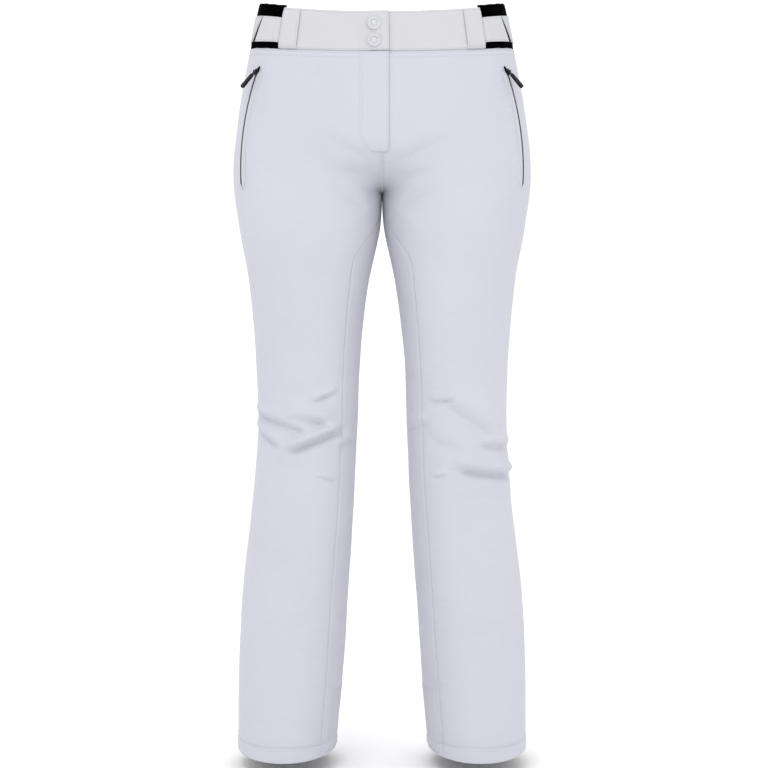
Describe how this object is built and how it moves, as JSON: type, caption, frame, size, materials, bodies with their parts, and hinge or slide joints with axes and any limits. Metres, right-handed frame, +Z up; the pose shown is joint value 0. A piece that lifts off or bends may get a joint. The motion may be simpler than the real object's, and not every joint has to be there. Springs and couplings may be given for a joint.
{
  "type": "ski pants",
  "caption": "Insulated ski trousers with a snap and zip fly, zipped hand pockets, peel-open waist adjusters, flexing knees and inner snow gaiters.",
  "frame": {"origin": "middle of the waist opening, level with the top of the side waist", "axes": "+Z up along the body, -Y to the front, +X to the wearer's left"},
  "size_m": [0.4182, 0.2343, 1.0404],
  "materials": {
    "shell_cloth": "matt fine woven",
    "scuff_cloth": "matt heavy woven",
    "lining": "smooth taffeta",
    "gaiter": "matt coated",
    "elastic": "ribbed",
    "zip": "moulded coil",
    "black_plastic": "satin",
    "metal": "satin",
    "cap": "lacquered",
    "hook_and_loop": "hooks and loops",
    "label": "satin"
  },
  "bodies": {
    "trousers": {"front_panel_left": "shell_cloth", "front_panel_right": "shell_cloth", "inner_panel_left": "shell_cloth", "inner_panel_right": "shell_cloth", "back_panel_left": "shell_cloth", "back_panel_right": "shell_cloth", "back_yoke_left": "shell_cloth", "back_yoke_right": "shell_cloth", "knee_back_left": "shell_cloth", "knee_back_right": "shell_cloth", "lining_left": "lining", "lining_right": "lining", "waistband_front_left": "shell_cloth", "waistband_front_right": "shell_cloth", "waistband_back": "shell_cloth", "waist_elastic_left": "elastic", "waist_elastic_right": "elastic", "waistband_facing": "lining", "belt_loop_left": "shell_cloth", "belt_loop_right": "shell_cloth", "back_belt_loops": "shell_cloth", "adjuster_landing_left": "hook_and_loop", "adjuster_landing_right": "hook_and_loop", "fly_shield": "shell_cloth", "fly_zip_chain": "zip", "snap_studs": "metal", "pocket_zip_chain_left": "zip", "pocket_zip_chain_right": "zip", "pocket_bag_left": "lining", "pocket_bag_right": "lining", "size_label": "label"},
    "fly_flap": {"fly_flap": "shell_cloth", "waistband_tab": "shell_cloth", "snap_caps": "cap", "snap_sockets": "metal"},
    "fly_slider": {"fly_zip_slider": "metal", "fly_zip_pull": "metal"},
    "pocket_slider_left": {"pocket_zip_slider_left": "black_plastic"},
    "pocket_pull_left": {"pocket_zip_pull_left": "metal", "pull_grip_left": "black_plastic"},
    "adjuster_left": {"adjuster_strap_left": "shell_cloth", "adjuster_hook_left": "hook_and_loop"},
    "lower_leg_left": {"shin_front_left": "shell_cloth", "shin_inner_left": "shell_cloth", "shin_back_left": "shell_cloth", "kick_patch_left": "scuff_cloth", "snow_gaiter_left": "gaiter", "gaiter_elastic_left": "elastic"},
    "pocket_slider_right": {"pocket_zip_slider_right": "black_plastic"},
    "pocket_pull_right": {"pocket_zip_pull_right": "metal", "pull_grip_right": "black_plastic"},
    "adjuster_right": {"adjuster_strap_right": "shell_cloth", "adjuster_hook_right": "hook_and_loop"},
    "lower_leg_right": {"shin_front_right": "shell_cloth", "shin_inner_right": "shell_cloth", "shin_back_right": "shell_cloth", "kick_patch_right": "scuff_cloth", "snow_gaiter_right": "gaiter", "gaiter_elastic_right": "elastic"}
  },
  "joints": [
    {"name": "fly_flap_hinge", "type": "hinge", "parent": "trousers", "child": "fly_flap", "pos_m": [-0.02949, -0.10053, -0.1555], "axis": [0, 0, -1], "range_deg": [0, 65]},
    {"name": "fly_zip_slide", "type": "slide", "parent": "trousers", "child": "fly_slider", "axis": [0, -0.0529, -0.9986], "range_m": [0, 0.075]},
    {"name": "pocket_zip_left", "type": "hinge", "parent": "trousers", "child": "pocket_slider_left", "pos_m": [-0.02499, -0.22915, -0.21584], "axis": [-0.6478, 0.7577, -0.0793], "range_deg": [0, 31.55]},
    {"name": "pocket_pull_hinge_left", "type": "hinge", "parent": "pocket_slider_left", "child": "pocket_pull_left", "pos_m": [0.17341, -0.054, -0.10648], "axis": [-0.5244, -0.7743, -0.3541], "range_deg": [-12, 110]},
    {"name": "pocket_zip_right", "type": "hinge", "parent": "trousers", "child": "pocket_slider_right", "pos_m": [0.02499, -0.22915, -0.21584], "axis": [-0.6478, -0.7577, 0.0793], "range_deg": [0, 31.55]},
    {"name": "pocket_pull_hinge_right", "type": "hinge", "parent": "pocket_slider_right", "child": "pocket_pull_right", "pos_m": [-0.17341, -0.054, -0.10648], "axis": [-0.5244, 0.7743, 0.3541], "range_deg": [-12, 110]},
    {"name": "adjuster_peel_left", "type": "hinge", "parent": "trousers", "child": "adjuster_left", "pos_m": [0.14623, -0.06505, -0.04], "axis": [0, 0, -1], "range_deg": [0, 75]},
    {"name": "adjuster_peel_right", "type": "hinge", "parent": "trousers", "child": "adjuster_right", "pos_m": [-0.14623, -0.06505, -0.04], "axis": [0, 0, 1], "range_deg": [0, 75]},
    {"name": "knee_left", "type": "hinge", "parent": "trousers", "child": "lower_leg_left", "pos_m": [0.104, -0.004, -0.6], "axis": [1, 0, 0], "range_deg": [0, 90], "deforming": ["knee_back_left"]},
    {"name": "knee_right", "type": "hinge", "parent": "trousers", "child": "lower_leg_right", "pos_m": [-0.104, -0.004, -0.6], "axis": [1, 0, 0], "range_deg": [0, 90], "deforming": ["knee_back_right"]}
  ]
}
